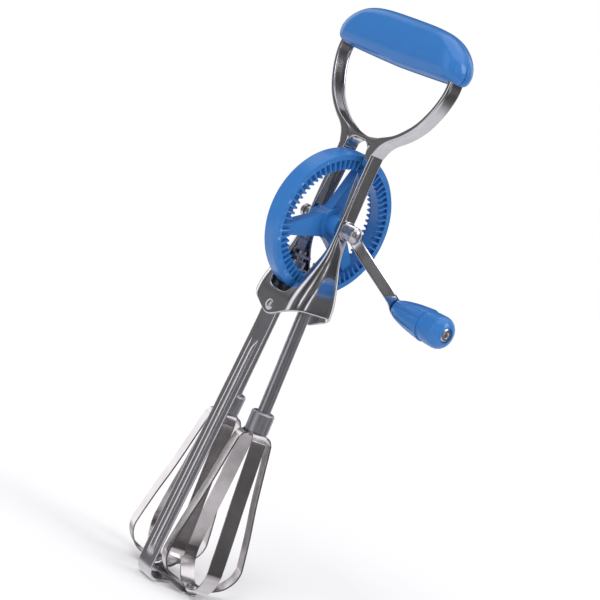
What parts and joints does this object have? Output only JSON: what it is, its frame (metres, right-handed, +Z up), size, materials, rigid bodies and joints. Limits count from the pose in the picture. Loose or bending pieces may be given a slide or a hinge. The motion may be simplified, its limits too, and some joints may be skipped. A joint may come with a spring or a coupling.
{
  "type": "hand-cranked rotary egg beater",
  "caption": "Rotary hand egg beater: D-shaped grip, polished frame, toothed drive wheel with side crank and knob, and interleaved looped beaters on a stay bar with a flat foot.",
  "frame": {"origin": "on the tool's middle line, at the flat underside of the foot plate", "axes": "+Z up the tool towards the grip, +X along the crank's axle towards the crank, +Y away from the stay bar; the drive wheel lies in the YZ plane"},
  "size_m": [0.1135, 0.0842, 0.3106],
  "materials": {
    "polished_steel": "polished stainless sheet",
    "plain_steel": "bright",
    "brushed_steel": "drawn rod, satin",
    "blade_steel": "rolled strip, bright",
    "cast_zinc": "cast, satin",
    "bush_metal": "satin",
    "blue_plastic": "glossy moulded"
  },
  "bodies": {
    "body": {"frame": "polished_steel", "grip_front": "blue_plastic", "grip_back": "blue_plastic", "axle_bush_right": "bush_metal", "axle_bush_left": "bush_metal", "upper_bearing_right": "plain_steel", "upper_bearing_left": "plain_steel", "bearing_plate": "plain_steel", "stay_bar": "polished_steel", "stay_rivet": "plain_steel", "foot_plate": "polished_steel"},
    "crank": {"axle": "plain_steel", "gear_wheel": "blue_plastic", "crank_washer": "plain_steel", "crank_spacer": "plain_steel", "crank_arm": "polished_steel", "crank_nut": "plain_steel", "knob_spindle": "plain_steel"},
    "knob": {"knob": "blue_plastic"},
    "beater_right": {"pinion_right": "cast_zinc", "shaft_right": "brushed_steel", "collar_right": "cast_zinc", "outer_loop_right": "blade_steel", "inner_loop_right": "blade_steel", "pivot_right": "plain_steel"},
    "beater_left": {"pinion_left": "cast_zinc", "shaft_left": "brushed_steel", "collar_left": "cast_zinc", "outer_loop_left": "blade_steel", "inner_loop_left": "blade_steel", "pivot_left": "plain_steel"}
  },
  "joints": [
    {"name": "crank_spin", "type": "hinge", "parent": "body", "child": "crank", "pos_m": [0, 0, 0.201], "axis": [1, 0, 0], "continuous": true},
    {"name": "knob_spin", "type": "hinge", "parent": "crank", "child": "knob", "pos_m": [0.0315, 0.03752, 0.17473], "axis": [1, 0, 0], "continuous": true},
    {"name": "beater_right_spin", "type": "hinge", "parent": "body", "child": "beater_right", "pos_m": [0.00951, 0, 0.1695], "axis": [-0.0384, 0, 0.9993], "continuous": true},
    {"name": "beater_left_spin", "type": "hinge", "parent": "body", "child": "beater_left", "pos_m": [-0.00951, 0, 0.1695], "axis": [0.0384, 0, 0.9993], "continuous": true}
  ],
  "couplings": [
    {"joint": "beater_right_spin", "follows": "crank_spin", "ratio": -5.8182},
    {"joint": "beater_left_spin", "follows": "crank_spin", "ratio": 5.8182}
  ]
}
